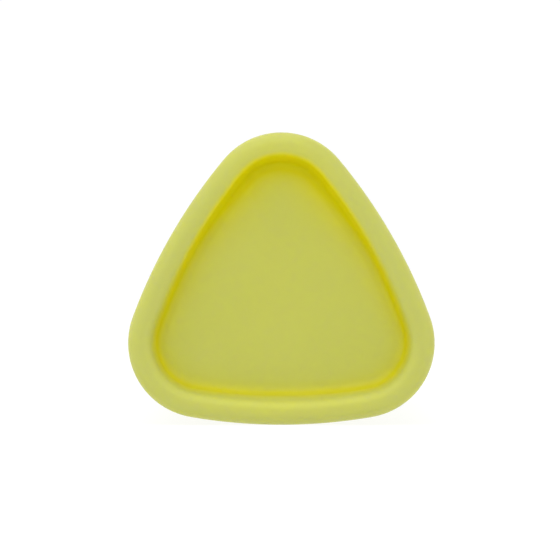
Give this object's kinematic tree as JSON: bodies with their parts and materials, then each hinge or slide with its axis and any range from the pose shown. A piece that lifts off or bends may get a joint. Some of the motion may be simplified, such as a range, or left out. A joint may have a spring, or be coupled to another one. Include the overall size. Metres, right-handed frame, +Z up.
{
  "type": "triangular twist-up crayon",
  "caption": "Jumbo crayon with a rounded-triangle barrel; turning the recessed end feeds a round wax stick out of a tapered nose.",
  "frame": {"origin": "on the surface the crayon lies on, under the middle of its box", "axes": "+Y along the crayon from the turning end to the wax tip, +Z up through one corner of the triangle, +X across"},
  "size_m": [0.02, 0.116, 0.0191],
  "materials": {
    "lemon_plastic": "satin moulded lemon-yellow plastic",
    "natural_plastic": "uncoloured moulded plastic",
    "wax": "yellow wax with a dull sheen",
    "rubber": "soft black rubber",
    "spring_steel": "bright spring steel"
  },
  "bodies": {
    "barrel": {"barrel": "lemon_plastic", "nose_cone": "lemon_plastic", "rear_bushing": "natural_plastic"},
    "knob": {"twist_knob": "lemon_plastic", "lead_screw": "natural_plastic", "retaining_clip": "spring_steel", "friction_ring": "rubber"},
    "wax": {"carrier": "natural_plastic", "wax_stick": "wax"}
  },
  "joints": [
    {"name": "knob_turn", "type": "hinge", "parent": "barrel", "child": "knob", "pos_m": [0, -0.045, 0.00828], "axis": [0, 1, 0], "range_deg": [-360, 1440]},
    {"name": "wax_feed", "type": "slide", "parent": "barrel", "child": "wax", "axis": [0, 1, 0], "range_m": [-0.0081, 0.0321]}
  ],
  "couplings": [
    {"joint": "wax_feed", "follows": "knob_turn", "m_per_rad": 0.0012732}
  ]
}
